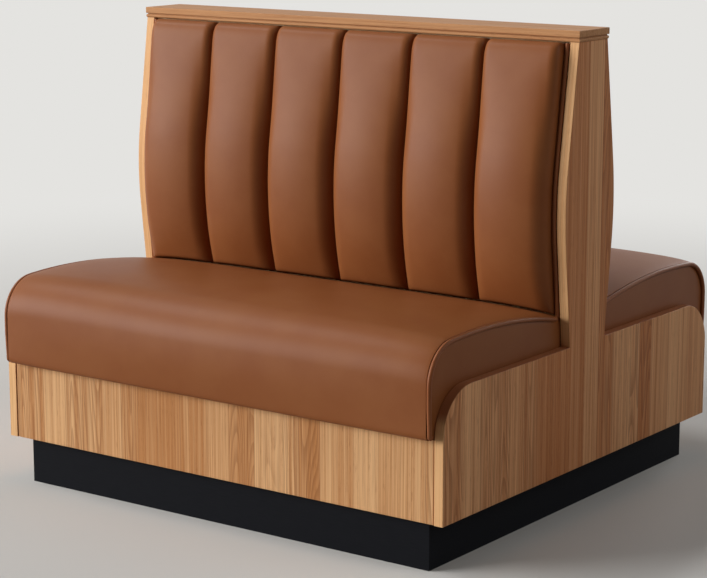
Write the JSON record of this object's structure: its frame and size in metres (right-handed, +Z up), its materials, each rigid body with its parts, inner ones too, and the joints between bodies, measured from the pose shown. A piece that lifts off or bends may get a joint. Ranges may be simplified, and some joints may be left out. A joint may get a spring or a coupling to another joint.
{
  "type": "double-sided upholstered banquette bench",
  "caption": "Back-to-back booth bench with crowned leather seats, a channelled leather back, T-shaped oak end panels, a timber cap and a recessed plinth.",
  "frame": {"origin": "on the floor, under the middle of the bench", "axes": "+X along the seats, -Y the way the front seat faces, +Z up"},
  "size_m": [1.205, 1.1904, 1.063],
  "materials": {
    "oak_veneer": "satin",
    "tan_leather": "satin",
    "charcoal_laminate": "matte",
    "birch_plywood": "matte",
    "softwood": "matte",
    "foam": "matte",
    "zinc_steel": "satin"
  },
  "bodies": {
    "root": {"back_board_front": "birch_plywood", "back_board_rear": "birch_plywood", "back_channel_front_1": "tan_leather", "back_channel_front_2": "tan_leather", "back_channel_front_3": "tan_leather", "back_channel_front_4": "tan_leather", "back_channel_front_5": "tan_leather", "back_channel_front_6": "tan_leather", "back_channel_rear_1": "tan_leather", "back_channel_rear_2": "tan_leather", "back_channel_rear_3": "tan_leather", "back_channel_rear_4": "tan_leather", "back_channel_rear_5": "tan_leather", "back_channel_rear_6": "tan_leather", "back_pad_front": "foam", "back_pad_rear": "foam", "back_welts_front": "tan_leather", "back_welts_rear": "tan_leather", "base_deck": "birch_plywood", "cap_base": "oak_veneer", "cap_board": "oak_veneer", "cap_screws": "zinc_steel", "deck_screws": "zinc_steel", "end_panel_bolts": "zinc_steel", "end_panel_left": "oak_veneer", "end_panel_right": "oak_veneer", "front_fascia": "oak_veneer", "mid_rail_front": "softwood", "mid_rail_rear": "softwood", "plinth_cross_board_left": "charcoal_laminate", "plinth_cross_board_right": "charcoal_laminate", "plinth_front_board": "charcoal_laminate", "plinth_left_board": "charcoal_laminate", "plinth_rear_board": "charcoal_laminate", "plinth_right_board": "charcoal_laminate", "rear_fascia": "oak_veneer", "rib_1": "birch_plywood", "rib_2": "birch_plywood", "rib_3": "birch_plywood", "seat_apron_front": "birch_plywood", "seat_apron_rear": "birch_plywood", "seat_board_front": "birch_plywood", "seat_board_rear": "birch_plywood", "seat_brackets": "zinc_steel", "seat_cleats": "softwood", "seat_cover_front": "tan_leather", "seat_cover_rear": "tan_leather", "seat_foam_front": "foam", "seat_foam_rear": "foam", "seat_rail_front": "softwood", "seat_rail_rear": "softwood", "seat_welts_front": "tan_leather", "seat_welts_rear": "tan_leather", "top_rail": "softwood"}
  },
  "joints": []
}
